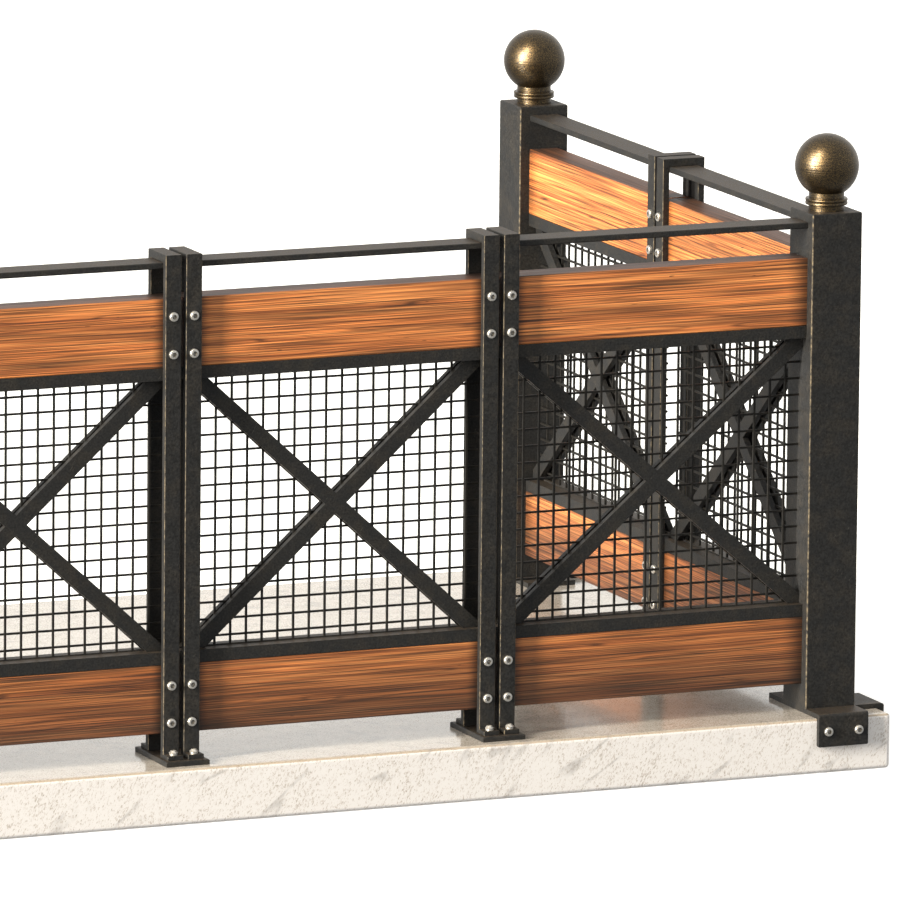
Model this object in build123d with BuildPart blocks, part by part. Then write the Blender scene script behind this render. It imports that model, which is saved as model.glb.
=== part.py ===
"""Corner balcony railing: timber planks and wire lattice between steel stiles, on a stone slab.

The origin is on the underside of the slab, below the axis of the corner newel.
The front run goes from there towards -X, and the side run towards +Y.
"""
import os
from math import atan2, degrees, hypot, sqrt

from build123d import *

# Number of panels in each run
front_bays = 4
side_bays = 2

# Stone slab
slab_thickness = 111
slab_reach = 108            # newel axis to the edge of the slab
slab_round = 8

# Newel posts
newel_width = 108
newel_height = 1004         # above the slab
newel_round = 3
newel_top_bevel = 2

# Turned ball finials, heights above the newel
ball_radius = 63.5
ball_height = 89
neck_radius = 35
collar_radius = 42
collar_bottom = 11.5
collar_top = 24.5
collar_bevel = 2
groove_depth = 1.5

# Panels: planks, rails and handrails share one length and one depth
panel_length = 660
panel_depth = 64
pair_gap = 10               # between the two stiles where panels meet
plank_height = 136
plank_bevel = 2
rail_height = 25
bead_width = 6              # keeper bead on each rail that the wires stand on
bead_height = 3
handrail_thickness = 12
handrail_bevel = 1.5
foot_gap = 57               # slab to lower plank
lattice_height = 536        # between the rails
hand_gap = 59               # upper plank to handrail

# Stiles: flat bar bent into an inverted U over the panel ends
leg_width = 33
leg_thickness = 14
bridge_thickness = 16
foot_length = 24
foot_thickness = 9
bar_bevel = 1

# Base plates and straps
base_thickness = 10
stile_base_width = 90
stile_base_depth = 165
flap_drop = 56              # how far a folded end hangs below the top of the slab
flap_round = 3
strap_tail = 119            # newel axis to the flat end of its strap
plate_bevel = 1.5
bend_round = 6

# Wire lattice and its crossed braces
wire = 4
mesh_pitch = 33.2
uprights = 18
cross_wires = 16
wire_tuck = 12              # how far the cross wires run in between the legs of a stile
brace_width = 30
brace_thickness = 12
weld_gap = 0.5              # root gap between a brace and its rail

# Heights above the slab
lower_rail_level = foot_gap + plank_height
lattice_level = lower_rail_level + rail_height
upper_rail_level = lattice_level + lattice_height
upper_plank_level = upper_rail_level + rail_height
handrail_level = upper_plank_level + plank_height + hand_gap
bridge_level = handrail_level + handrail_thickness
stile_height = bridge_level + bridge_thickness
lattice_middle = lattice_level + lattice_height / 2

stile_depth = panel_depth + 2 * leg_thickness


def run_length(bays):
    """Distance between the newel axes at the two ends of a run."""
    return newel_width + bays * panel_length + (bays - 1) * pair_gap


front_length = run_length(front_bays)
side_length = run_length(side_bays)

# A run's plane: x along the run, y up from the slab, z outwards
front_run = Plane(origin=(-front_length, 0, slab_thickness), x_dir=(1, 0, 0), z_dir=(0, -1, 0))
side_run = Plane(origin=(0, 0, slab_thickness), x_dir=(0, 1, 0), z_dir=(1, 0, 0))
runs = {"front": (front_run, front_bays), "side": (side_run, side_bays)}

# Each newel with the sides, along X and Y, on which its base folds over the slab
newels = {
    "left": (-front_length, 0, -1, -1),
    "corner": (0, 0, 1, -1),
    "rear": (0, side_length, 1, 1),
}


def panel_start(index):
    """Distance along the run from the first newel's axis to the near end of a panel."""
    return newel_width / 2 + index * (panel_length + pair_gap)


def opening_ends(index, bays):
    """Ends of the open part of a panel, between stiles or between a stile and a newel."""
    start = panel_start(index)
    end = start + panel_length
    left = start if index == 0 else start + leg_width
    right = end if index == bays - 1 else end - leg_width
    return left, right


def across(run, along, height=0):
    """Plane across a run: x inwards, y up, z along the run."""
    origin = run.from_local_coords(Vector(along, height, 0))
    return Plane(origin=origin, x_dir=-run.z_dir, z_dir=run.x_dir)


def along_axis(run):
    """Direction of a run, for choosing the edges and faces that follow it."""
    return Axis((0, 0, 0), tuple(run.x_dir))


def save(part, label):
    """Label a finished piece and write it."""
    part.label = label
    export_step(part, f"parts/{label}.step")


def stone_slab():
    """Polished slab under both runs, with softened edges."""
    width = front_length + 2 * slab_reach
    depth = side_length + 2 * slab_reach
    with BuildPart() as slab:
        with BuildSketch(Plane.XY):
            with Locations((-front_length / 2, side_length / 2)):
                Rectangle(width, depth)
        extrude(amount=slab_thickness)
        fillet(slab.edges(), radius=slab_round)
    return slab.part


def newel(x, y):
    """Square post standing on its base strap."""
    with BuildPart() as post:
        with BuildSketch(Plane.XY.offset(slab_thickness + base_thickness)):
            with Locations((x, y)):
                Rectangle(newel_width, newel_width)
        extrude(amount=newel_height - base_thickness)
        fillet(post.edges().filter_by(Axis.Z), radius=newel_round)
        chamfer(post.faces().sort_by(Axis.Z)[-1].edges(), length=newel_top_bevel)
    return post.part


def newel_base(x, y, side, front):
    """Strap under a newel and an arm beside it, each folded down over an edge of the slab."""
    half = newel_width / 2
    edge = slab_reach + base_thickness
    with BuildPart() as base:
        with BuildSketch(Plane.XY.offset(slab_thickness)):
            with Locations((x, y + front * (edge - strap_tail) / 2)):
                Rectangle(newel_width, edge + strap_tail)
            with Locations((x + side * (half + edge) / 2, y)):
                Rectangle(edge - half, newel_width)
        extrude(amount=base_thickness)
        with BuildSketch(Plane.XY.offset(slab_thickness - flap_drop)):
            with Locations((x, y + front * (edge - base_thickness / 2))):
                Rectangle(newel_width, base_thickness)
            with Locations((x + side * (edge - base_thickness / 2), y)):
                Rectangle(base_thickness, newel_width)
        extrude(amount=flap_drop + base_thickness)
        top_edges = base.faces().sort_by(Axis.Z)[-1].edges()
        front_bend = top_edges.filter_by(Axis.X).sort_by(Axis.Y)[-1 if front > 0 else 0]
        side_bend = top_edges.filter_by(Axis.Y).sort_by(Axis.X)[-1 if side > 0 else 0]
        fillet([front_bend, side_bend], radius=bend_round)
        flap_corners = base.edges().group_by(Axis.Z)[0].group_by(SortBy.LENGTH)[0]
        fillet(flap_corners, radius=flap_round)
    return base.part


def ball_finials():
    """Balls on short necks with grooved collars, each turned about the axis of its newel."""
    join = ball_height - sqrt(ball_radius ** 2 - neck_radius ** 2)
    top = ball_height + ball_radius
    middle = (collar_bottom + collar_top) / 2
    rim = collar_radius - collar_bevel
    with BuildPart() as turned:
        for x, y, side, front in newels.values():
            foot = (x, y, slab_thickness + newel_height)
            with BuildSketch(Plane(origin=foot, x_dir=(1, 0, 0), z_dir=(0, -1, 0))):
                with BuildLine():
                    Polyline(
                        (0, top),
                        (0, 0),
                        (neck_radius, 0),
                        (neck_radius, collar_bottom),
                        (rim, collar_bottom),
                        (collar_radius, collar_bottom + collar_bevel),
                        (collar_radius, middle - groove_depth),
                        (collar_radius - groove_depth, middle),
                        (collar_radius, middle + groove_depth),
                        (collar_radius, collar_top - collar_bevel),
                        (rim, collar_top),
                        (neck_radius, collar_top),
                        (neck_radius, join),
                    )
                    ThreePointArc((neck_radius, join), (ball_radius, ball_height), (0, top))
                make_face()
            revolve(axis=Axis(foot, (0, 0, 1)))
    return turned.part


def panel_board(run, index, level, height, bevel):
    """Straight board of one panel, a plank or a handrail, with bevelled long edges."""
    with BuildPart() as board:
        with BuildSketch(run):
            with Locations((panel_start(index) + panel_length / 2, level + height / 2)):
                Rectangle(panel_length, height)
        extrude(amount=panel_depth / 2, both=True)
        chamfer(board.edges().filter_by(along_axis(run)), length=bevel)
    return board.part


def lattice_frame(run, index, bays):
    """Upper and lower rails, and a crossed pair of braces on each side of the wires."""
    start = panel_start(index)
    left, right = opening_ends(index, bays)
    rails = ((lower_rail_level, rail_height + bead_height / 2), (upper_rail_level, -bead_height / 2))
    diagonal = hypot(right - left, lattice_height)
    slope = degrees(atan2(lattice_height, right - left))
    with BuildPart() as frame:
        for level, bead in rails:
            with BuildSketch(across(run, start, level)):
                with Locations((0, rail_height / 2)):
                    Rectangle(panel_depth, rail_height)
                with Locations((0, bead)):
                    Rectangle(bead_width, bead_height)
            extrude(amount=panel_length)
        for inner_face in (wire, -wire - brace_thickness):
            with BuildSketch(run.offset(inner_face)):
                with Locations(((left + right) / 2, lattice_middle)):
                    Rectangle(diagonal + 2 * brace_width, brace_width, rotation=slope)
                    Rectangle(diagonal + 2 * brace_width, brace_width, rotation=-slope)
                with Locations((start + panel_length / 2, lattice_middle)):
                    Rectangle(panel_length, lattice_height - 2 * weld_gap, mode=Mode.INTERSECT)
            extrude(amount=brace_thickness)
    return frame.part


def lattice_mesh(run, index, bays):
    """Square wires in two layers, welded where they cross."""
    left, right = opening_ends(index, bays)
    near = left if index == 0 else left - wire_tuck
    far = right if index == bays - 1 else right + wire_tuck
    with BuildPart() as mesh:
        with BuildSketch(run):
            with Locations(((left + right) / 2, lattice_middle)):
                with GridLocations(mesh_pitch, mesh_pitch, uprights, 1):
                    Rectangle(wire, lattice_height - 2 * bead_height)
        extrude(amount=wire)
        with BuildSketch(run):
            with Locations(((near + far) / 2, lattice_middle)):
                with GridLocations(mesh_pitch, mesh_pitch, 1, cross_wires):
                    Rectangle(far - near, wire)
        extrude(amount=-wire)
    return mesh.part


def stile_pair(run, index):
    """Two inverted U stiles, over the end of one panel and the start of the next."""
    reach = stile_depth / 2 + foot_length / 2
    with BuildPart() as pair:
        for edge in (panel_start(index) + panel_length - leg_width, panel_start(index + 1)):
            with BuildSketch(across(run, edge, base_thickness)):
                outer = stile_height - base_thickness
                inner = bridge_level - base_thickness
                with Locations((0, outer / 2)):
                    Rectangle(stile_depth, outer)
                with Locations((0, inner / 2)):
                    Rectangle(panel_depth, inner, mode=Mode.SUBTRACT)
                with Locations((-reach, foot_thickness / 2), (reach, foot_thickness / 2)):
                    Rectangle(foot_length, foot_thickness)
            extrude(amount=leg_width)
        sides = pair.faces().filter_by(along_axis(run))
        chamfer(sides.edges(), length=bar_bevel)
    return pair.part


def stile_base(run, index):
    """Plate under the four feet of a pair of stiles."""
    middle = panel_start(index + 1) - pair_gap / 2
    with BuildPart() as plate:
        with BuildSketch(across(run, middle - stile_base_width / 2)):
            with Locations((0, base_thickness / 2)):
                Rectangle(stile_base_depth, base_thickness)
        extrude(amount=stile_base_width)
        chamfer(plate.faces().sort_by(Axis.Z)[-1].edges(), length=plate_bevel)
    return plate.part


os.makedirs("parts", exist_ok=True)

save(stone_slab(), "stone_slab")
save(ball_finials(), "ball_finials")

for place, (x, y, side, front) in newels.items():
    save(newel(x, y), f"{place}_newel")
    save(newel_base(x, y, side, front), f"{place}_newel_base")

for name, (run, bays) in runs.items():
    for index in range(bays):
        bay = f"{name}_bay_{index + 1}"
        save(panel_board(run, index, foot_gap, plank_height, plank_bevel), f"{bay}_lower_plank")
        save(panel_board(run, index, upper_plank_level, plank_height, plank_bevel), f"{bay}_upper_plank")
        save(panel_board(run, index, handrail_level, handrail_thickness, handrail_bevel), f"{bay}_handrail")
        save(lattice_frame(run, index, bays), f"{bay}_lattice_frame")
        save(lattice_mesh(run, index, bays), f"{bay}_mesh")
    for index in range(bays - 1):
        save(stile_pair(run, index), f"{name}_stile_pair_{index + 1}")
        save(stile_base(run, index), f"{name}_stile_base_{index + 1}")
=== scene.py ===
"""Finishes, fasteners and studio for a corner balcony railing on a stone slab."""

import math

import bmesh
import bpy
from bpy.props import FloatProperty, FloatVectorProperty, IntProperty, PointerProperty
from mathutils import Matrix, Quaternion, Vector


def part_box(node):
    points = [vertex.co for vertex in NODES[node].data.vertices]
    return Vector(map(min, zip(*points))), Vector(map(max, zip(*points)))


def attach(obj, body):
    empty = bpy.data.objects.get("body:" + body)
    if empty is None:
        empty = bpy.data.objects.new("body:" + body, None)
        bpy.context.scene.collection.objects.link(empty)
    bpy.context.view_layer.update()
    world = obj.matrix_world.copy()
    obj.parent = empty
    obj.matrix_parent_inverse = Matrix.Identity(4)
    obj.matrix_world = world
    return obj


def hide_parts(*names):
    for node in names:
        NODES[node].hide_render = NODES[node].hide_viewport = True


bl_info = {
    "name": "Balcony Railing",
    "version": (1, 0, 0),
    "blender": (4, 5, 0),
    "location": "View3D > Sidebar > Railing",
    "description": "Dresses a corner balcony railing with its finishes, fasteners and studio",
    "category": "Object",
}

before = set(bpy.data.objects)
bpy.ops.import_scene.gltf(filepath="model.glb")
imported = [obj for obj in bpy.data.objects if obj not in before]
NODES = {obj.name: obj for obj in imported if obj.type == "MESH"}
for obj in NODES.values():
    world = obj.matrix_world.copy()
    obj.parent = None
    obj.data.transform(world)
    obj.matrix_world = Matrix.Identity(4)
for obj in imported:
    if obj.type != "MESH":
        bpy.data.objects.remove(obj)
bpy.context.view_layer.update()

MM = 0.001

# Points nearer than this are merged, and faces that turn by more than this meet in a sharp edge
WELD = 0.01 * MM
CORNER = math.radians(32)

# Sockets of the Mix node when it mixes colours, and its settings when it multiplies them
MIX_FACTOR, MIX_A, MIX_B = 0, 6, 7
TINTED = {"data_type": "RGBA", "blend_type": "MULTIPLY"}

# Levels between which most of a noise lies
SPREAD = {"From Min": 0.3, "From Max": 0.7}

# A ping-pong over half a period gives the distance to the nearest whole number
HALF_PERIOD = 0.5

WHITE = (1, 1, 1, 1)

# Wall and socket of a screw as shares of its height, and the flat round the socket as a multiple of the socket
WALL_SHARE, DEPTH_SHARE, FLAT_RATIO = 0.35, 0.55, 1.25

UP = Vector((0, 0, 1))

# Runs of the railing, each with the direction along it and the direction outwards
RUNS = {
    "front": (Vector((1, 0, 0)), Vector((0, -1, 0))),
    "side": (Vector((0, 1, 0)), Vector((1, 0, 0))),
}

# Newels, each with the outward directions in which its base strap is folded over the slab
FOLDS = {
    "left": (Vector((0, -1, 0)), Vector((-1, 0, 0))),
    "corner": (Vector((0, -1, 0)), Vector((1, 0, 0))),
    "rear": (Vector((0, 1, 0)), Vector((1, 0, 0))),
}

# Sizes read from the frame
FIRST_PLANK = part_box("front_bay_1_lower_plank")
SECOND_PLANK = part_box("front_bay_2_lower_plank")
UPPER_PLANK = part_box("front_bay_1_upper_plank")
BAY_PITCH = SECOND_PLANK[0].x - FIRST_PLANK[0].x
PAIR_GAP = SECOND_PLANK[0].x - FIRST_PLANK[1].x
PANEL_DEPTH = FIRST_PLANK[1].y - FIRST_PLANK[0].y
STILE_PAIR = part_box("front_stile_pair_1")
LEG_WIDTH = (STILE_PAIR[1].x - STILE_PAIR[0].x - PAIR_GAP) / 2
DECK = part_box("stone_slab")[1].z


def linear(code):
    """Linear RGBA of an sRGB hex colour."""
    parts = [int(code[i:i + 2], 16) / 255 for i in (1, 3, 5)]
    return [c / 12.92 if c <= 0.04045 else ((c + 0.055) / 1.055) ** 2.4 for c in parts] + [1.0]


def colour(name, description, code):
    """Colour property with an sRGB hex default."""
    return FloatVectorProperty(name=name, description=description, subtype="COLOR", size=4, min=0, max=1,
                               default=linear(code))


def length(name, description, millimetres):
    """Length property with a default in millimetres."""
    return FloatProperty(name=name, description=description, unit="LENGTH", min=0, precision=4,
                         default=millimetres * MM)


def angle(name, description, degrees):
    """Angle property with a default in degrees."""
    return FloatProperty(name=name, description=description, subtype="ANGLE", default=math.radians(degrees))


def direction(name, description, toward):
    """Direction property."""
    return FloatVectorProperty(name=name, description=description, subtype="DIRECTION", size=3, default=toward)


def number(name, description, value):
    """Property that is a plain number."""
    return FloatProperty(name=name, description=description, default=value)


def connect(tree, node, inputs):
    """Set or link a node's inputs; a node given as a value stands for its first output in use."""
    for socket, value in inputs.items():
        if isinstance(value, bpy.types.Node):
            value = next(output for output in value.outputs if output.enabled)
        if isinstance(value, bpy.types.NodeSocket):
            tree.links.new(value, node.inputs[socket])
        else:
            node.inputs[socket].default_value = value


def add(tree, kind, inputs=None, stops=(), **settings):
    """Add a shader node, set its properties and its colour stops, and set or link its inputs."""
    node = tree.nodes.new(f"ShaderNode{kind}")
    for name, value in settings.items():
        setattr(node, name, value)
    connect(tree, node, inputs or {})
    for i, (position, rgba) in enumerate(stops):
        elements = node.color_ramp.elements
        element = elements[i] if i < len(elements) else elements.new(position)
        element.position = position
        element.color = rgba
    return node


def new_material(name):
    """Empty material with a Principled surface; returns it with its tree and shader."""
    material = bpy.data.materials.new(name)
    material.use_nodes = True
    tree = material.node_tree
    tree.nodes.clear()
    shader = add(tree, "BsdfPrincipled")
    add(tree, "OutputMaterial", {"Surface": shader})
    return material, tree, shader


def finish(maker, look):
    """The finish that a function makes, made once and named for it."""
    return bpy.data.materials.get(maker.__name__) or maker(look)


def dress(material, *endings):
    """Give one material to every CAD node whose name ends so."""
    for name, node in NODES.items():
        if name.endswith(endings):
            node.data.materials.clear()
            node.data.materials.append(material)


def new_piece(name, shape, materials):
    """Object of a finished bmesh, riding on the railing and shaded smooth up to its corners."""
    bmesh.ops.remove_doubles(shape, verts=shape.verts, dist=WELD)
    bmesh.ops.recalc_face_normals(shape, faces=shape.faces)
    mesh = bpy.data.meshes.new(name)
    shape.to_mesh(mesh)
    shape.free()
    mesh.shade_smooth()
    mesh.set_sharp_from_angle(angle=CORNER)
    for material in materials:
        mesh.materials.append(material)
    piece = bpy.data.objects.new(name, mesh)
    bpy.context.scene.collection.objects.link(piece)
    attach(piece, "root")
    return piece


class TimberLook(bpy.types.PropertyGroup):
    """Planed and oiled hardwood of the planks."""
    light: colour("Light wood", "Early wood between the rings", "#d58a4c")
    middle: colour("Middle wood", "Body of the board", "#c27239")
    dark: colour("Dark wood", "Bands of late wood", "#9a562c")
    pit: colour("Pits", "Short checks and resin pits", "#24130b")
    # Tint that darkens the lower planks towards their lower edge
    damp: colour("Damp tint", "Tint of the lower planks at their lower edge", "#747a94")
    # Painted shade on the upper faces of the planks
    greyed: colour("Greyed wood", "Upper faces, darkened by weather", "#38261f")
    tone_width: length("Tone width", "Width of the paler and darker stretches of a board", 24)
    tone_length: length("Tone length", "Length of the paler and darker stretches", 480)
    band_width: length("Band width", "Width of the broad bands across a board", 8)
    band_length: length("Band length", "Length of the broad bands", 640)
    ring_spacing: length("Ring spacing", "Distance between the thin dark year lines across a board", 6)
    ring_waves: number("Ring waves", "Number of year lines that a wave crosses", 7)
    ring_wander: length("Ring wander", "Width of the waves in the year lines", 22)
    wander_length: length("Wander length", "Length of the waves in the year lines", 484)
    line_width: length("Line width", "Width of the dark lines across a board", 2)
    line_length: length("Line length", "Length of the dark lines", 260)
    fibre_width: length("Fibre width", "Width of the fine fibres across a board", 1.9)
    fibre_length: length("Fibre length", "Length of the fine fibres", 171)
    pit_width: length("Pit width", "Width of the short dark pits", 2.6)
    pit_length: length("Pit length", "Length of the short dark pits", 26)
    relief: length("Relief", "Depth of the figure in the surface", 0.4)
    board_shift: number("Board shift", "Step through the pattern from one board to the next", 3.7)
    # Painted shade beside the stiles and newels: how much light the darkest wood keeps, and how far the shade
    # reaches
    stain: number("Stain", "Share of its light that the dirtiest wood of the front run keeps", 0.15)
    side_stain: number("Side stain", "Share of its light that the dirtiest wood of the side run keeps", 0.5)
    stain_reach: length("Stain reach", "How far the dirt beside a stile reaches along a plank", 30)
    newel_stain_reach: length("Newel stain reach", "How far the dirt beside a newel reaches along a plank", 55)
    # Heights between which the darkening of the lower planks fades out
    damp_bottom: length("Damp bottom", "Height where the damp tint is full", 165)
    damp_top: length("Damp top", "Height where the damp tint of the front run ends", 345)
    side_damp_top: length("Side damp top", "Height where the damp tint of the side run ends", 450)


class SteelLook(bpy.types.PropertyGroup):
    """Blackened and oiled steel of the frame."""
    base: colour("Blackened steel", "Colour of the oxide film", "#232425")
    patina: colour("Brown patina", "Colour where the film has browned", "#2e2c29")
    scratch: colour("Scratch", "Colour of the fine scratches in the film", "#55524d")
    worn: colour("Worn edge", "Colour of the metal where handling has rubbed the film away", "#b9a786")
    dust: colour("Settled dust", "Colour of the dust on level faces", "#5e4f3e")
    wire: colour("Wire", "Colour of the lattice wires", "#161615")
    edge_round: length("Edge rounding", "Radius that the sharp edges seem to have", 1.2)
    cloud: length("Cloud size", "Size of the brown clouds in the film", 36)
    mottle: length("Mottle size", "Size of the fine mottling of the film", 4)
    relief: length("Relief", "Depth of the mottling in the surface", 0.7)
    scratch_width: length("Scratch width", "Width of the space between fine scratches", 4)
    scratch_length: length("Scratch length", "Length of the fine scratches", 240)
    scratch_turn: FloatVectorProperty(name="Scratch turn", description="Turn of the scratches from the X axis",
                                      subtype="EULER", size=3, default=(0.5, -0.9, 0.4))
    chip: length("Chip size", "Size of the rubbed patches along an edge", 9)


class BronzeLook(bpy.types.PropertyGroup):
    """Turned and dark-waxed bronze of the ball finials."""
    base: colour("Dark bronze", "Colour of the waxed patina", "#242322")
    rubbed: colour("Rubbed bronze", "Colour on the high spots", "#a3895a")
    speckle: length("Speckle size", "Size of the speckles in the wax", 1.7)
    tool_mark: length("Tool mark", "Height of the marks that the turning tool left round the ball", 2.4)
    mark_length: length("Tool mark length", "Length of the tool marks", 72)
    relief: length("Relief", "Depth of the tool marks", 0.9)
    ball_radius: length("Ball radius", "Radius of the ball", 63.5)
    ball_height: length("Ball height", "Centre of the ball above the newel", 89)
    neck_radius: length("Neck radius", "Radius of the neck", 35)
    collar_radius: length("Collar radius", "Radius of the collar", 42)
    collar_bottom: length("Collar bottom", "Underside of the collar above the newel", 11.5)
    collar_height: length("Collar height", "Height of the collar", 13)
    collar_round: length("Collar rounding", "Rounding of the collar's edges", 1.8)
    groove_depth: length("Groove depth", "Depth of the groove round the collar", 2.2)
    ball_steps: IntProperty(name="Ball steps", description="Faces from the neck to the crown", default=30, min=6,
                            max=90)
    steps: IntProperty(name="Steps", description="Faces round a finial", default=72, min=12, max=256)


class GraniteLook(bpy.types.PropertyGroup):
    """Sawn and polished cream granite of the slab."""
    cream: colour("Cream", "Body of the stone", "#f5f2ef")
    tan: colour("Tan", "Feldspar grains", "#d3cac1")
    dark: colour("Dark grain", "Single dark grains", "#b3aba3")
    vein: colour("Grey vein", "Mica veins", "#9a9692")
    # Tint given to the rounded upper edge of the slab
    arris: colour("Stained arris", "Tint of the rounded upper edge, where rain dries last", "#c4b6a2")
    deep: colour("Polished grain", "Light grains of the upper face, which its polish deepens", "#d2cbc0")
    brown: colour("Polished dark grain", "Dark grains of the upper face", "#7b6d5c")
    grain: length("Grain size", "Width of one crystal", 2.8)
    grain_length: length("Grain length", "Length of one crystal", 6.16)
    patch: length("Patch size", "Width of the paler and darker patches", 40)
    crowding: number("Crowding", "Share of the patches in the shade of the grains", 0.14)
    vein_width: length("Vein spacing", "Width of the space between veins", 110)
    vein_length: length("Vein length", "Length of the veins", 880)
    relief: length("Relief", "Depth of the grains in the surface", 0.3)
    grain_lean: angle("Grain lean", "Lean of the crystals from upright", 24)
    vein_lean: angle("Vein lean", "Lean of the veins from upright", 50)
    vein_turn: angle("Vein turn", "Turn of the veins about the upright", 34.377)


class BoltLook(bpy.types.PropertyGroup):
    """Zinc-plated button-head screws."""
    zinc: colour("Bright zinc", "Colour of the plating", "#dcdbd7")
    dulled: colour("Dulled zinc", "Colour of the clouds in the plating", "#aeada9")
    # Painted shade: dark colour given to the screw sockets
    oily: colour("Oily zinc", "Colour in the sockets", "#454340")
    cloud: length("Cloud size", "Size of the clouds in the plating", 3)
    head_diameter: length("Head diameter", "Diameter of a screw head on a stile or strap", 18)
    head_height: length("Head height", "Height of a screw head on a stile or strap", 6)
    foot_diameter: length("Foot screw diameter", "Diameter of a screw head on a foot", 16)
    foot_height: length("Foot screw height", "Height of a screw head on a foot", 9)
    socket: length("Socket radius", "Distance from the middle to a corner of the hexagon socket", 5)
    lower_inset: length("Lower inset", "Edge of the lower plank to its lower screw", 23)
    upper_inset: length("Upper inset", "Edge of the upper plank to its lower screw", 28.5)
    plank_spacing: length("Plank spacing", "Distance between the two screws of a plank", 74)
    leg_thickness: length("Leg thickness", "Thickness of a stile's leg", 14)
    foot_thickness: length("Foot thickness", "Thickness of a stile's foot", 9)
    foot_edge: length("Foot edge", "End of a stile's foot to its screw", 12)
    strap_spacing: length("Strap spacing", "Distance between the two screws of a folded strap", 66)
    strap_drop: length("Strap drop", "Screws of a folded strap below the top of the slab", 25)


class StudioLook(bpy.types.PropertyGroup):
    """Camera, lights and floor."""
    aim: FloatVectorProperty(name="Aim", description="Point in the middle of the picture", subtype="TRANSLATION",
                             unit="LENGTH", size=3, default=(-0.7873, 0.0426, 0.6748))
    azimuth: angle("Azimuth", "Camera's direction round the railing", -23.443)
    elevation: angle("Elevation", "Camera's height above the horizon", 10.556)
    roll: angle("Roll", "Camera's turn about its own axis", 0.57)
    distance: length("Distance", "Camera to aim", 24878.6)
    lens: number("Lens", "Focal length in millimetres", 507.17)
    sensor: number("Sensor", "Width of the camera's frame in millimetres", 36)
    floor: colour("Floor", "Colour of the floor", "#f6f6f4")
    floor_half: length("Floor half", "Half the floor's width", 60000)
    floor_drop: length("Floor drop", "Floor below the underside of the slab", 0.5)
    floor_glow: number("Floor glow", "Light that the floor gives off", 0.5)
    lamp_distance: length("Lamp distance", "Aim to each lamp", 24000)
    key: colour("Key light", "Colour of the low warm light", "#fff6e8")
    key_toward: direction("Key direction", "Direction to the low warm light", (-0.947, -0.204, 0.25))
    key_width: length("Key width", "Width of the key light", 3000)
    key_height: length("Key height", "Height of the key light", 15000)
    key_power: FloatProperty(name="Key power", description="Power of the key light", unit="POWER", default=19000)
    strip: colour("Strip light", "Colour of the strip light", "#ffe8c4")
    strip_toward: direction("Strip direction", "Direction to the strip light", (-0.765, -0.4, 0.5))
    strip_width: length("Strip width", "Width of the strip light", 4000)
    strip_height: length("Strip height", "Height of the strip light", 20000)
    strip_power: FloatProperty(name="Strip power", description="Power of the strip light", unit="POWER",
                               default=19000)
    sky: colour("Sky", "Colour of the soft light all round", "#f9f8f5")
    sky_toward: direction("Sky direction", "Direction to the brightest side of the sky", (0.6, 0.75, 0.25))
    sky_bright: number("Sky bright", "Strength of the sky's brightest side", 1.15)
    sky_dim: number("Sky dim", "Strength of the sky's dimmest side", 0.4)
    sky_below: number("Sky below", "Share of the sky's light left below the horizon", 0.6)
    sky_fade: number("Sky fade", "Sine of the angle below the horizon where only that share is left", 0.25)


class RailingSettings(bpy.types.PropertyGroup):
    """All sizes and colours of the dressed railing."""
    timber: PointerProperty(type=TimberLook, name="Timber", description="Planks")
    steel: PointerProperty(type=SteelLook, name="Steel", description="Frame")
    bronze: PointerProperty(type=BronzeLook, name="Bronze", description="Finials")
    granite: PointerProperty(type=GraniteLook, name="Granite", description="Slab")
    bolts: PointerProperty(type=BoltLook, name="Bolts", description="Fasteners")
    studio: PointerProperty(type=StudioLook, name="Studio", description="Camera, lights and floor")


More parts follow.
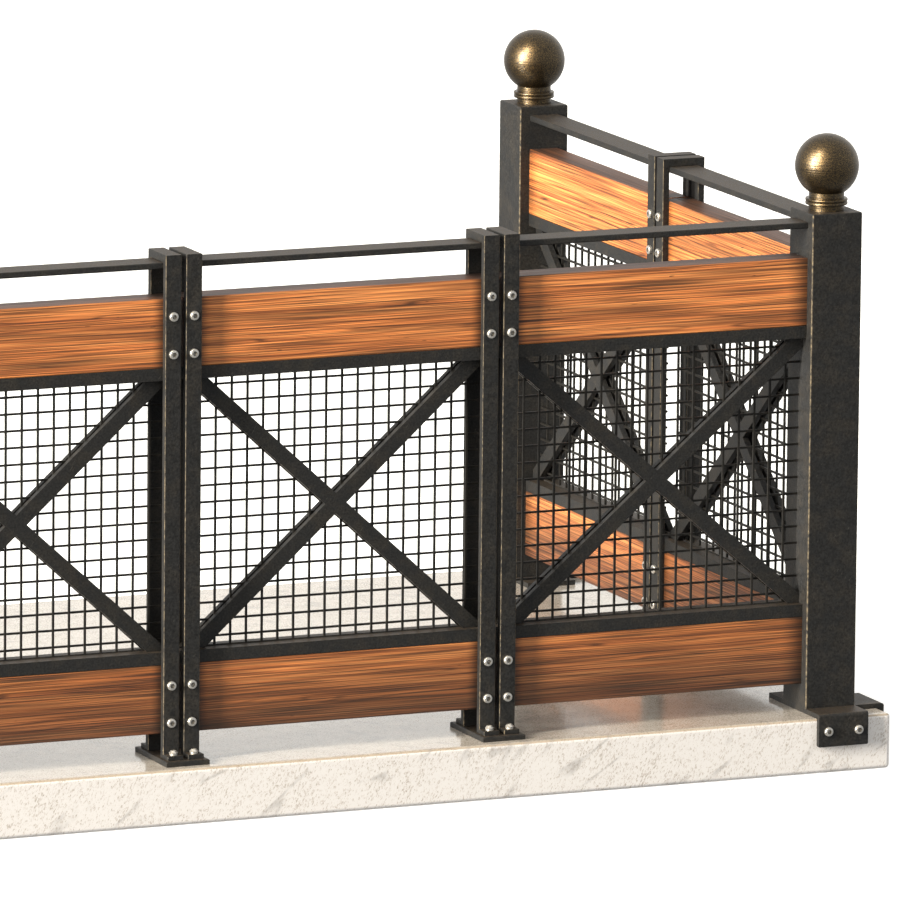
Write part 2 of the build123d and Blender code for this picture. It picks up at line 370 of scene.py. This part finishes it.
def oiled_hardwood(look, run):
    """Reddish hardwood, planed and oiled: long bands, dark lines, fine fibres, pits, painted shade at the joints
    and on the upper faces, lower planks darker below.
    """
    material, tree, shader = new_material(f"oiled_hardwood_{run}")
    front = run == "front"
    quarter_turn = 0.0 if front else -math.pi / 2
    place = add(tree, "TexCoord").outputs["Object"]
    grain = add(tree, "Mapping", {"Vector": place, "Rotation": (0, 0, quarter_turn)})
    axes = add(tree, "SeparateXYZ", {"Vector": grain}).outputs
    # Every board is cut from another place in the tree
    boards = [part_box(name) for name in NODES if name.startswith(run) and name.endswith("_lower_plank")]
    start = min(box[0].dot(RUNS[run][0]) for box in boards) - PAIR_GAP / 2
    along = add(tree, "Math", {0: axes["X"], 1: start}, operation="SUBTRACT")
    bay = add(tree, "Math", {0: along, 1: BAY_PITCH}, operation="DIVIDE")
    board = add(tree, "Math", {0: bay}, operation="FLOOR")
    upper = add(tree, "Math", {0: axes["Z"], 1: UPPER_PLANK[0].z}, operation="GREATER_THAN")
    seed = add(tree, "Math", {0: board, 1: look.board_shift, 2: upper}, operation="MULTIPLY_ADD")
    # Lines and fibres are drawn some three times as coarse as in the wood, so that they show
    layers = []
    for width, span, detail in (
            (look.tone_width, look.tone_length, 1), (look.band_width, look.band_length, 2),
            (look.ring_wander, look.wander_length, 1), (look.line_width, look.line_length, 0),
            (look.fibre_width, look.fibre_length, 0), (look.pit_width, look.pit_length, 0)):
        drawn = add(tree, "Mapping", {"Vector": grain, "Scale": (span / width, 1, 1)}, vector_type="TEXTURE")
        layers.append(add(tree, "TexNoise", {"Vector": drawn, "W": seed, "Scale": 1 / width, "Detail": detail,
                                             "Roughness": 0.65}, noise_dimensions="4D"))
    tones, bands, waves, lines, fibres, pits = layers
    body = add(tree, "ValToRGB", {"Fac": bands}, stops=[
        (0.32, look.dark), (0.46, look.middle), (0.66, look.light)])
    toned = add(tree, "MapRange", {"Value": tones, **SPREAD, "To Min": 0.68, "To Max": 1.45})
    lined = add(tree, "MapRange", {"Value": lines, "From Min": 0.34, "From Max": 0.47, "To Min": 0.36})
    # The year lines run with the board, wave a little, and are darkest where the bands are dark
    across = add(tree, "Math", {0: axes["Z"], 1: axes["Y"]}, operation="ADD")
    years = add(tree, "Math", {0: across, 1: look.ring_spacing}, operation="DIVIDE")
    waved = add(tree, "Math", {0: waves, 1: look.ring_waves, 2: years}, operation="MULTIPLY_ADD")
    off_line = add(tree, "Math", {0: waved, 1: HALF_PERIOD}, operation="PINGPONG")
    faint = add(tree, "MapRange", {"Value": bands, "From Min": 0.4, "From Max": 0.6, "To Min": 0.3,
                                   "To Max": 0.85})
    ringed = add(tree, "MapRange", {"Value": off_line, "From Min": 0.03, "From Max": 0.17, "To Min": faint})
    fibred = add(tree, "MapRange", {"Value": fibres, **SPREAD, "To Min": 0.5, "To Max": 1.5})
    threads = add(tree, "Math", {0: lined, 1: fibred}, operation="MULTIPLY")
    figure = add(tree, "Math", {0: threads, 1: ringed}, operation="MULTIPLY")
    # Painted shade darkens the wood beside the stiles, and beside the newels where a run ends
    joint = add(tree, "Math", {0: along, 1: BAY_PITCH / 2}, operation="PINGPONG")
    run_end = add(tree, "Math", {0: along, 1: len(boards) * BAY_PITCH / 2}, operation="PINGPONG")
    inner = add(tree, "Math", {0: run_end, 1: BAY_PITCH / 2}, operation="GREATER_THAN")
    covered = add(tree, "Math", {0: inner, 1: LEG_WIDTH}, operation="MULTIPLY")
    clear = add(tree, "Math", {0: joint, 1: covered}, operation="SUBTRACT")
    reach = add(tree, "MapRange", {"Value": inner, "To Min": look.newel_stain_reach, "To Max": look.stain_reach})
    stain = add(tree, "MapRange", {"Value": clear, "From Max": reach,
                                   "To Min": look.stain if front else look.side_stain},
                interpolation_type="SMOOTHSTEP")
    tone_and_shade = add(tree, "Math", {0: toned, 1: stain}, operation="MULTIPLY")
    shade = add(tree, "Math", {0: figure, 1: tone_and_shade}, operation="MULTIPLY")
    figured = add(tree, "Mix", {MIX_FACTOR: 1.0, MIX_A: body, MIX_B: shade}, **TINTED)
    pitted = add(tree, "MapRange", {"Value": pits, "From Min": 0.83, "From Max": 0.87})
    wood = add(tree, "Mix", {MIX_FACTOR: pitted, MIX_A: figured, MIX_B: look.pit}, data_type="RGBA")
    # The lower planks are tinted darker and bluer towards their lower edge
    damp_top = look.damp_top if front else look.side_damp_top
    low = add(tree, "MapRange", {"Value": axes["Z"], "From Min": look.damp_bottom, "From Max": damp_top,
                                 "To Min": 1.0, "To Max": 0.0})
    damp = add(tree, "Mix", {MIX_FACTOR: low, MIX_A: wood, MIX_B: look.damp}, **TINTED)
    # Painted shade: the upper faces are mixed towards a darker, greyer colour
    facing = add(tree, "NewGeometry").outputs["Normal"]
    upward = add(tree, "SeparateXYZ", {"Vector": facing}).outputs["Z"]
    upper_faces = add(tree, "MapRange", {"Value": upward, "From Min": 0.6, "From Max": 0.9, "To Max": 0.85})
    surface = add(tree, "Mix", {MIX_FACTOR: upper_faces, MIX_A: damp, MIX_B: look.greyed}, data_type="RGBA")
    sheen = add(tree, "MapRange", {"Value": lines, **SPREAD, "To Min": 0.6, "To Max": 0.42})
    relief = add(tree, "Bump", {"Height": figure, "Strength": 0.3, "Distance": look.relief})
    connect(tree, shader, {"Base Color": surface, "Roughness": sheen, "Normal": relief})
    return material


def blackened_steel(look):
    """Hot-rolled bar, blackened and oiled: near-black film, brown clouds, scratches, dusty tops, rubbed edges."""
    material, tree, shader = new_material("blackened_steel")
    place = add(tree, "TexCoord").outputs["Object"]
    clouds = add(tree, "TexNoise", {"Vector": place, "Scale": 1 / look.cloud, "Detail": 8.0, "Roughness": 0.7})
    film = add(tree, "ValToRGB", {"Fac": clouds}, stops=[(0.45, look.base), (0.64, look.patina)])
    mottle = add(tree, "TexNoise", {"Vector": place, "Scale": 1 / look.mottle, "Detail": 3.0, "Roughness": 0.7})
    depth = add(tree, "MapRange", {"Value": mottle, **SPREAD, "To Min": 0.4, "To Max": 1.6})
    mottled = add(tree, "Mix", {MIX_FACTOR: 1.0, MIX_A: film, MIX_B: depth}, **TINTED)
    stretch = look.scratch_length / look.scratch_width
    drawn = add(tree, "Mapping", {"Vector": place, "Rotation": look.scratch_turn, "Scale": (stretch, 1, 1)},
                vector_type="TEXTURE")
    lines = add(tree, "TexNoise", {"Vector": drawn, "Scale": 1 / look.scratch_width, "Detail": 1.0,
                                   "Roughness": 0.6})
    scratches = add(tree, "MapRange", {"Value": lines, "From Min": 0.72, "From Max": 0.8, "To Max": 0.4})
    scratched = add(tree, "Mix", {MIX_FACTOR: scratches, MIX_A: mottled, MIX_B: look.scratch}, data_type="RGBA")
    # Dust lies in patches on level faces
    normal = add(tree, "NewGeometry").outputs["True Normal"]
    facing = add(tree, "SeparateXYZ", {"Vector": normal}).outputs
    level = add(tree, "MapRange", {"Value": facing["Z"], "From Min": 0.85, "From Max": 0.97})
    settled = add(tree, "MapRange", {"Value": mottle, "From Min": 0.38, "From Max": 0.66, "To Max": 0.6})
    dust = add(tree, "Math", {0: level, 1: settled}, operation="MULTIPLY")
    dusty = add(tree, "Mix", {MIX_FACTOR: dust, MIX_A: scratched, MIX_B: look.dust}, data_type="RGBA")
    # Only the rounded or bevelled upright edges face both along X and along Y, and they are rubbed in patches
    slant = add(tree, "Math", {0: facing["X"], 1: facing["Y"]}, operation="MULTIPLY")
    both_ways = add(tree, "Math", {0: slant}, operation="ABSOLUTE")
    edge = add(tree, "MapRange", {"Value": both_ways, "From Min": 0.1, "From Max": 0.35})
    chips = add(tree, "TexNoise", {"Vector": place, "Scale": 1 / look.chip, "Detail": 4.0})
    rubbed = add(tree, "MapRange", {"Value": chips, "From Min": 0.38, "From Max": 0.62, "To Max": 0.28})
    wear = add(tree, "Math", {0: edge, 1: rubbed}, operation="MULTIPLY")
    surface = add(tree, "Mix", {MIX_FACTOR: wear, MIX_A: dusty, MIX_B: look.worn}, data_type="RGBA")
    metal = add(tree, "MapRange", {"Value": wear, "To Min": 0.1})
    satin = add(tree, "MapRange", {"Value": mottle, **SPREAD, "To Min": 0.4, "To Max": 0.65})
    rounded = add(tree, "Bevel", {"Radius": look.edge_round}, samples=4)
    relief = add(tree, "Bump", {"Height": mottle, "Normal": rounded, "Strength": 0.9, "Distance": look.relief})
    connect(tree, shader, {"Base Color": surface, "Metallic": metal, "Roughness": satin,
                           "Specular IOR Level": 0.25, "Normal": relief})
    return material


def blackened_wire(look):
    """Drawn wire, blackened and oiled: matt near-black, with the slight mottling of its oxide film."""
    material, tree, shader = new_material("blackened_wire")
    place = add(tree, "TexCoord").outputs["Object"]
    mottle = add(tree, "TexNoise", {"Vector": place, "Scale": 1 / look.mottle, "Detail": 4.0, "Roughness": 0.7})
    film = add(tree, "ValToRGB", {"Fac": mottle}, stops=[(0.4, look.wire), (0.75, look.patina)])
    matt = add(tree, "MapRange", {"Value": mottle, **SPREAD, "To Min": 0.45, "To Max": 0.6})
    connect(tree, shader, {"Base Color": film, "Roughness": matt, "Specular IOR Level": 0.2})
    return material


def waxed_bronze(look):
    """Turned bronze, dark-waxed: olive brown, speckled, with level tool marks that draw highlights upright."""
    material, tree, shader = new_material("waxed_bronze")
    place = add(tree, "TexCoord").outputs["Object"]
    speckle = add(tree, "TexNoise", {"Vector": place, "Scale": 1 / look.speckle, "Detail": 4.0,
                                     "Roughness": 0.7})
    patina = add(tree, "ValToRGB", {"Fac": speckle}, stops=[(0.44, look.base), (0.88, look.rubbed)])
    gloss = add(tree, "MapRange", {"Value": speckle, **SPREAD, "To Min": 0.43, "To Max": 0.37})
    stretch = look.mark_length / look.tool_mark
    level = add(tree, "Mapping", {"Vector": place, "Scale": (stretch, stretch, 1)}, vector_type="TEXTURE")
    marks = add(tree, "TexNoise", {"Vector": level, "Scale": 1 / look.tool_mark, "Detail": 0.0})
    relief = add(tree, "Bump", {"Height": marks, "Strength": 0.35, "Distance": look.relief})
    connect(tree, shader, {"Base Color": patina, "Metallic": 1.0, "Roughness": gloss, "Normal": relief,
                           "Coat Weight": 0.35, "Coat Roughness": 0.28, "Coat Normal": relief})
    return material


def polished_granite(look):
    """Cream granite, sawn and polished: slanting grains, thin grey veins and a deeper, mirror-like upper face."""
    material, tree, shader = new_material("polished_granite")
    place = add(tree, "TexCoord").outputs["Object"]
    leaning = add(tree, "Mapping", {"Vector": place, "Rotation": (0, look.grain_lean, 0),
                                    "Scale": (1, 1, look.grain_length / look.grain)}, vector_type="TEXTURE")
    grains = add(tree, "TexNoise", {"Vector": leaning, "Scale": 1 / look.grain, "Detail": 4.0,
                                    "Roughness": 0.75})
    patches = add(tree, "TexNoise", {"Vector": leaning, "Scale": 1 / look.patch, "Detail": 3.0})
    crowd = add(tree, "Math", {0: patches, 1: look.crowding, 2: grains}, operation="MULTIPLY_ADD")
    sawn = add(tree, "ValToRGB", {"Fac": crowd}, stops=[
        (0.37, look.dark), (0.46, look.tan), (0.54, look.cream)])
    polished = add(tree, "ValToRGB", {"Fac": crowd}, stops=[(0.4, look.brown), (0.62, look.deep)])
    facing = add(tree, "NewGeometry").outputs["Normal"]
    upward = add(tree, "SeparateXYZ", {"Vector": facing}).outputs["Z"]
    top = add(tree, "MapRange", {"Value": upward, "From Min": 0.8, "From Max": 0.98})
    crystals = add(tree, "Mix", {MIX_FACTOR: top, MIX_A: sawn, MIX_B: polished}, data_type="RGBA")
    # The rounded upper edge, between the front and the top, is tinted with the arris colour
    rounded = add(tree, "ValToRGB", {"Fac": upward}, stops=[
        (0.4, WHITE), (0.6, look.arris), (0.85, look.arris), (0.96, WHITE)])
    arris_tinted = add(tree, "Mix", {MIX_FACTOR: 1.0, MIX_A: crystals, MIX_B: rounded}, **TINTED)
    # A vein follows the middle level of its noise, and fades where the patches are pale
    stretch = look.vein_length / look.vein_width
    drawn = add(tree, "Mapping", {"Vector": place, "Rotation": (0, look.vein_lean, look.vein_turn),
                                  "Scale": (1, stretch, stretch)}, vector_type="TEXTURE")
    bands = add(tree, "TexNoise", {"Vector": drawn, "Scale": 1 / look.vein_width, "Detail": 3.0,
                                   "Roughness": 0.5})
    ridge = add(tree, "Math", {0: bands, 1: HALF_PERIOD}, operation="PINGPONG")
    fade = add(tree, "MapRange", {"Value": patches, "From Min": 0.38, "From Max": 0.54, "To Min": 0.45,
                                  "To Max": 0.0})
    veins = add(tree, "MapRange", {"Value": ridge, "From Min": 0.482, "From Max": 0.498, "To Max": fade})
    stone = add(tree, "Mix", {MIX_FACTOR: veins, MIX_A: arris_tinted, MIX_B: look.vein}, data_type="RGBA")
    # The upper face is polished, the edges are only sawn smooth
    gloss = add(tree, "MapRange", {"Value": top, "To Min": 0.5, "To Max": 0.18})
    relief = add(tree, "Bump", {"Height": grains, "Strength": 0.06, "Distance": look.relief})
    connect(tree, shader, {"Base Color": stone, "Roughness": gloss, "Normal": relief, "Coat Weight": 0.4,
                           "Coat Roughness": 0.08})
    return material


def bright_zinc(look):
    """Zinc plating on turned steel: pale, bright and slightly clouded."""
    material, tree, shader = new_material("bright_zinc")
    place = add(tree, "TexCoord").outputs["Object"]
    clouds = add(tree, "TexNoise", {"Vector": place, "Scale": 1 / look.cloud, "Detail": 3.0})
    plating = add(tree, "ValToRGB", {"Fac": clouds}, stops=[(0.3, look.dulled), (0.7, look.zinc)])
    gloss = add(tree, "MapRange", {"Value": clouds, "To Min": 0.25, "To Max": 0.42})
    connect(tree, shader, {"Base Color": plating, "Metallic": 0.75, "Roughness": gloss})
    return material


def socket_shade_zinc(look):
    """Zinc in the sockets, painted dark grey and matt as their shade."""
    material, tree, shader = new_material("socket_shade_zinc")
    place = add(tree, "TexCoord").outputs["Object"]
    clouds = add(tree, "TexNoise", {"Vector": place, "Scale": 1 / look.cloud, "Detail": 3.0})
    # Painted shade: the socket colour runs from the dark shade colour to dulled zinc
    dust = add(tree, "ValToRGB", {"Fac": clouds}, stops=[(0.3, look.oily), (0.8, look.dulled)])
    connect(tree, shader, {"Base Color": dust, "Metallic": 0.75, "Roughness": 0.5})
    return material


def button_screw(radius, height, socket):
    """Mesh of a button-head screw that stands on the origin along +Z, with a hexagon socket in its dome that
    takes a second, painted-shade material.
    """
    steps, corners, dome_steps = 18, 6, 4
    wall = height * WALL_SHARE
    depth = height * DEPTH_SHARE
    flat = socket * FLAT_RATIO
    shape = bmesh.new()
    rim = shape.verts.new((radius, 0, 0))
    shoulder = shape.verts.new((radius, 0, wall))
    shape.edges.new((rim, shoulder))
    # The dome is an arc that rises from the wall to the edge of the flat round the socket
    run, rise = radius - flat, height - wall
    dome = (run * run + rise * rise) / (2 * rise)
    bmesh.ops.spin(shape, geom=[shoulder], cent=(flat, 0, height - dome), axis=(0, -1, 0),
                   angle=math.asin(min(1.0, run / dome)), steps=dome_steps, use_duplicate=False)
    profile = list(shape.verts) + list(shape.edges)
    bmesh.ops.spin(shape, geom=profile, cent=(0, 0, 0), axis=UP, angle=2 * math.pi, steps=steps, use_merge=True,
                   use_duplicate=False)
    bmesh.ops.remove_doubles(shape, verts=shape.verts, dist=WELD)
    crown = [e for e in shape.edges if e.is_boundary and min(v.co.z for v in e.verts) > wall]
    hexagon = bmesh.ops.create_circle(shape, segments=corners, radius=socket,
                                      matrix=Matrix.Translation((0, 0, height)))
    sides = list({e for v in hexagon["verts"] for e in v.link_edges})
    bmesh.ops.subdivide_edges(shape, edges=sides, cuts=steps // corners - 1)
    ring = [e for e in shape.edges if e.is_wire]
    bmesh.ops.bridge_loops(shape, edges=crown + ring)
    mouth = [e for e in shape.edges if e.is_boundary and min(v.co.z for v in e.verts) > wall]
    sunk = bmesh.ops.extrude_edge_only(shape, edges=mouth)["geom"]
    bottom = [g for g in sunk if isinstance(g, bmesh.types.BMVert)]
    bmesh.ops.translate(shape, verts=bottom, vec=(0, 0, -depth))
    inside = [g for g in sunk if isinstance(g, bmesh.types.BMFace)]
    rest = [e for e in shape.edges if e.is_boundary and e.verts[0] in bottom]
    inside += bmesh.ops.contextual_create(shape, geom=rest)["faces"]
    # The socket takes the second material, whose dark colour is painted shade
    for face in inside:
        face.material_index = 1
    bmesh.ops.recalc_face_normals(shape, faces=shape.faces)
    mesh = bpy.data.meshes.new("screw_pattern")
    shape.to_mesh(mesh)
    shape.free()
    return mesh


def place_screws(name, pattern, places, look):
    """One piece of like screws, each standing on a point and turned to its outward direction."""
    group = bmesh.new()
    for point, outward in places:
        before = len(group.verts)
        group.from_mesh(pattern)
        group.verts.ensure_lookup_table()
        turn = outward.to_track_quat("Z", "X").to_matrix().to_4x4()
        bmesh.ops.transform(group, matrix=Matrix.Translation(point) @ turn, verts=group.verts[before:])
    return new_piece(name, group, [finish(bright_zinc, look), finish(socket_shade_zinc, look)])


def stile_legs():
    """Each stile pair's name, its outward direction, and the points on its two centre lines."""
    for run, (along, outward) in RUNS.items():
        for name in sorted(n for n in NODES if n.startswith(f"{run}_stile_pair")):
            low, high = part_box(name)
            spread = ((high - low).dot(along) + PAIR_GAP) / 4
            yield name, outward, [(low + high) / 2 + along * side * spread for side in (-1, 1)]


class RAILING_OT_slab(bpy.types.Operator):
    """Give the slab its polished granite"""
    bl_idname = "railing.slab"
    bl_label = "Stone slab"

    def execute(self, context):
        dress(finish(polished_granite, context.scene.railing.granite), "slab")
        return {"FINISHED"}


class RAILING_OT_newels(bpy.types.Operator):
    """Give the newels and their base straps their blackened steel"""
    bl_idname = "railing.newels"
    bl_label = "Newels"

    def execute(self, context):
        dress(finish(blackened_steel, context.scene.railing.steel), "_newel", "_newel_base")
        return {"FINISHED"}


class RAILING_OT_stiles(bpy.types.Operator):
    """Give the stiles and their base plates their blackened steel"""
    bl_idname = "railing.stiles"
    bl_label = "Stiles"

    def execute(self, context):
        steel = finish(blackened_steel, context.scene.railing.steel)
        dress(steel, *(name for name in NODES if "_stile_" in name))
        return {"FINISHED"}


class RAILING_OT_rails(bpy.types.Operator):
    """Give the handrails, rails and braces their blackened steel"""
    bl_idname = "railing.rails"
    bl_label = "Rails and braces"

    def execute(self, context):
        dress(finish(blackened_steel, context.scene.railing.steel), "_handrail", "_lattice_frame")
        return {"FINISHED"}


class RAILING_OT_wires(bpy.types.Operator):
    """Give the lattice wires their blackened finish"""
    bl_idname = "railing.wires"
    bl_label = "Lattice wires"

    def execute(self, context):
        dress(finish(blackened_wire, context.scene.railing.steel), "_mesh")
        return {"FINISHED"}


class RAILING_OT_planks(bpy.types.Operator):
    """Give the planks their oiled hardwood, with the grain along each run"""
    bl_idname = "railing.planks"
    bl_label = "Planks"

    def execute(self, context):
        for run in RUNS:
            wood = oiled_hardwood(context.scene.railing.timber, run)
            dress(wood, *(name for name in NODES if name.startswith(run) and name.endswith("_plank")))
        return {"FINISHED"}


class RAILING_OT_finials(bpy.types.Operator):
    """Turn a smooth ball finial for each newel in place of the coarse solid"""
    bl_idname = "railing.finials"
    bl_label = "Ball finials"

    def execute(self, context):
        look = context.scene.railing.bronze
        bronze = finish(waxed_bronze, look)
        dress(bronze, "ball_finials")
        for place in FOLDS:
            low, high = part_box(f"{place}_newel")
            foot = Vector(((low.x + high.x) / 2, (low.y + high.y) / 2, high.z))
            piece = new_piece(f"{place}_finial", self.turned(look, foot), [bronze])
            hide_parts("ball_finials")
        return {"FINISHED"}

    def turned(self, look, foot):
        """Turned surface of one finial: neck, grooved collar, neck and ball."""
        shape = bmesh.new()
        top = look.collar_bottom + look.collar_height
        middle = (look.collar_bottom + top) / 2
        groove = look.groove_depth
        sink = math.sqrt(look.ball_radius ** 2 - look.neck_radius ** 2)
        outline = [
            (0, 0), (look.neck_radius, 0), (look.neck_radius, look.collar_bottom),
            (look.collar_radius, look.collar_bottom), (look.collar_radius, middle - groove / 2),
            (look.collar_radius - groove, middle), (look.collar_radius, middle + groove / 2),
            (look.collar_radius, top), (look.neck_radius, top), (look.neck_radius, look.ball_height - sink),
        ]
        points = [shape.verts.new((r, 0, z)) for r, z in outline]
        for a, b in zip(points, points[1:]):
            shape.edges.new((a, b))
        collar = [p for p in points if p.co.x > look.neck_radius]
        bmesh.ops.bevel(shape, geom=collar, offset=look.collar_round, offset_type="OFFSET", affect="VERTICES",
                        segments=3, profile=0.5, material=-1)
        end = max(shape.verts, key=lambda v: v.co.z)
        bmesh.ops.spin(shape, geom=[end], cent=(0, 0, look.ball_height), axis=(0, -1, 0),
                       angle=math.acos(-sink / look.ball_radius), steps=look.ball_steps, use_duplicate=False)
        bmesh.ops.spin(shape, geom=list(shape.verts) + list(shape.edges), cent=(0, 0, 0), axis=UP,
                       angle=2 * math.pi, steps=look.steps, use_merge=True, use_duplicate=False)
        bmesh.ops.translate(shape, verts=shape.verts, vec=foot)
        return shape


class RAILING_OT_stile_screws(bpy.types.Operator):
    """Screw the stiles to the planks, outside and inside"""
    bl_idname = "railing.stile_screws"
    bl_label = "Stile screws"

    def execute(self, context):
        look = context.scene.railing.bolts
        pattern = button_screw(look.head_diameter / 2, look.head_height, look.socket)
        levels = []
        for plank, inset in ((FIRST_PLANK, look.lower_inset), (UPPER_PLANK, look.upper_inset)):
            levels += [plank[0].z + inset, plank[0].z + inset + look.plank_spacing]
        reach = PANEL_DEPTH / 2 + look.leg_thickness
        for name, outward, legs in stile_legs():
            places = []
            for leg in legs:
                for side in (1, -1):
                    spot = leg + outward * side * reach
                    places += [(Vector((spot.x, spot.y, level)), outward * side) for level in levels]
            place_screws(f"{name}_screws", pattern, places, look)
        bpy.data.meshes.remove(pattern)
        return {"FINISHED"}


class RAILING_OT_foot_screws(bpy.types.Operator):
    """Screw the feet of the stiles to their base plates"""
    bl_idname = "railing.foot_screws"
    bl_label = "Foot screws"

    def execute(self, context):
        look = context.scene.railing.bolts
        pattern = button_screw(look.foot_diameter / 2, look.foot_height, look.socket)
        for name, outward, legs in stile_legs():
            low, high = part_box(name)
            reach = abs((high - low).dot(outward)) / 2 - look.foot_edge
            spots = [leg + outward * side * reach for leg in legs for side in (1, -1)]
            places = [(Vector((spot.x, spot.y, low.z + look.foot_thickness)), UP) for spot in spots]
            place_screws(name.replace("pair", "foot_screws"), pattern, places, look)
        bpy.data.meshes.remove(pattern)
        return {"FINISHED"}


class RAILING_OT_strap_screws(bpy.types.Operator):
    """Screw the folded straps of the newels to the edge of the slab"""
    bl_idname = "railing.strap_screws"
    bl_label = "Strap screws"

    def execute(self, context):
        look = context.scene.railing.bolts
        pattern = button_screw(look.head_diameter / 2, look.head_height, look.socket)
        for place, folds in FOLDS.items():
            low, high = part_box(f"{place}_newel")
            axis = (low + high) / 2
            base_low, base_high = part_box(f"{place}_newel_base")
            places = []
            for outward in folds:
                face = base_high if outward.x + outward.y > 0 else base_low
                reach = abs((face - axis).dot(outward))
                across = outward.cross(UP)
                for side in (-1, 1):
                    spot = axis + outward * reach + across * side * look.strap_spacing / 2
                    places.append((Vector((spot.x, spot.y, DECK - look.strap_drop)), outward))
            place_screws(f"{place}_strap_screws", pattern, places, look)
        bpy.data.meshes.remove(pattern)
        return {"FINISHED"}


class RAILING_OT_studio(bpy.types.Operator):
    """Set up the floor, the lights and the camera"""
    bl_idname = "railing.studio"
    bl_label = "Studio"

    def execute(self, context):
        look = context.scene.railing.studio
        self.floor(context.scene, look)
        self.lamp(context.scene, look, "warm_key", look.key, look.key_toward,
                  (look.key_width, look.key_height), look.key_power)
        strip = self.lamp(context.scene, look, "warm_strip", look.strip, look.strip_toward,
                          (look.strip_width, look.strip_height), look.strip_power)
        # The strip only draws highlights on polished and rounded metal
        strip.visible_diffuse = False
        self.sky(context.scene, look)
        self.camera(context.scene, look)
        context.scene.view_settings.view_transform = "Standard"
        return {"FINISHED"}

    def floor(self, scene, look):
        """Wide pale floor under the slab, which glows a little and throws no light back at the railing."""
        shape = bmesh.new()
        bmesh.ops.create_grid(shape, x_segments=1, y_segments=1, size=look.floor_half)
        bmesh.ops.translate(shape, verts=shape.verts, vec=(0, 0, -look.floor_drop))
        mesh = bpy.data.meshes.new("studio_floor")
        shape.to_mesh(mesh)
        shape.free()
        material, tree, shader = new_material("painted_floor")
        connect(tree, shader, {"Base Color": look.floor, "Roughness": 0.9, "Emission Color": look.floor,
                               "Emission Strength": look.floor_glow})
        mesh.materials.append(material)
        floor = bpy.data.objects.new("studio_floor", mesh)
        floor.visible_diffuse = False
        floor.visible_glossy = False
        scene.collection.objects.link(floor)

    def lamp(self, scene, look, name, tint, toward, size, power):
        """Tall, warm, rectangular light far to the left."""
        away = Vector(toward).normalized()
        light = bpy.data.lights.new(name, "AREA")
        light.shape = "RECTANGLE"
        light.size, light.size_y = size
        light.color = tint[:3]
        light.energy = power
        lamp = bpy.data.objects.new(name, light)
        lamp.location = Vector(look.aim) + away * look.lamp_distance
        lamp.rotation_euler = away.to_track_quat("Z", "Y").to_euler()
        scene.collection.objects.link(lamp)
        return lamp

    def sky(self, scene, look):
        """Soft light from all round, bright behind the railing and dim in front of it."""
        world = bpy.data.worlds.new("soft_sky")
        world.use_nodes = True
        tree = world.node_tree
        tree.nodes.clear()
        heading = add(tree, "TexCoord").outputs["Generated"]
        toward = add(tree, "VectorMath", {0: heading, 1: Vector(look.sky_toward).normalized()},
                     operation="DOT_PRODUCT").outputs["Value"]
        level = add(tree, "MapRange", {"Value": toward, "From Min": -1.0, "To Min": look.sky_dim,
                                       "To Max": look.sky_bright})
        height = add(tree, "SeparateXYZ", {"Vector": heading}).outputs["Z"]
        ground = add(tree, "MapRange", {"Value": height, "From Min": -look.sky_fade, "From Max": 0.0,
                                        "To Min": look.sky_below})
        strength = add(tree, "Math", {0: level, 1: ground}, operation="MULTIPLY")
        light = add(tree, "Background", {"Color": look.sky, "Strength": strength})
        add(tree, "OutputWorld", {"Surface": light})
        scene.world = world

    def camera(self, scene, look):
        """Long lens from the front left, a little above the handrails."""
        data = bpy.data.cameras.new("camera")
        data.lens = look.lens
        data.sensor_width = look.sensor
        data.clip_end = 2 * look.floor_half
        back = Vector((math.sin(look.azimuth) * math.cos(look.elevation),
                       -math.cos(look.azimuth) * math.cos(look.elevation), math.sin(look.elevation)))
        camera = bpy.data.objects.new("camera", data)
        camera.location = Vector(look.aim) + back * look.distance
        camera.rotation_mode = "QUATERNION"
        camera.rotation_quaternion = (-back).to_track_quat("-Z", "Y") @ Quaternion(UP, look.roll)
        scene.collection.objects.link(camera)
        scene.camera = camera


class RAILING_PT_sidebar(bpy.types.Panel):
    """Sizes, colours and building steps of the railing"""
    bl_idname = "RAILING_PT_sidebar"
    bl_label = "Balcony Railing"
    bl_space_type = "VIEW_3D"
    bl_region_type = "UI"
    bl_category = "Railing"

    def draw(self, context):
        settings = context.scene.railing
        for group in (settings.granite, settings.steel, settings.timber, settings.bronze, settings.bolts,
                      settings.studio):
            box = self.layout.box()
            box.label(text=group.bl_rna.name)
            for prop in group.bl_rna.properties:
                if prop.identifier not in ("rna_type", "name"):
                    box.prop(group, prop.identifier)
        for step in STEPS:
            self.layout.operator(step.bl_idname)


STEPS = (RAILING_OT_slab, RAILING_OT_newels, RAILING_OT_stiles, RAILING_OT_rails, RAILING_OT_wires,
         RAILING_OT_planks, RAILING_OT_finials, RAILING_OT_stile_screws, RAILING_OT_foot_screws,
         RAILING_OT_strap_screws, RAILING_OT_studio)
CLASSES = (TimberLook, SteelLook, BronzeLook, GraniteLook, BoltLook, StudioLook, RailingSettings, *STEPS,
           RAILING_PT_sidebar)


def register():
    for cls in CLASSES:
        bpy.utils.register_class(cls)
    bpy.types.Scene.railing = PointerProperty(type=RailingSettings)


def unregister():
    del bpy.types.Scene.railing
    for cls in reversed(CLASSES):
        bpy.utils.unregister_class(cls)


def main():
    register()
    bpy.ops.railing.slab()
    bpy.ops.railing.newels()
    bpy.ops.railing.stiles()
    bpy.ops.railing.rails()
    bpy.ops.railing.wires()
    bpy.ops.railing.planks()
    bpy.ops.railing.finials()
    bpy.ops.railing.stile_screws()
    bpy.ops.railing.foot_screws()
    bpy.ops.railing.strap_screws()
    bpy.ops.railing.studio()


if __name__ == "__main__":
    main()
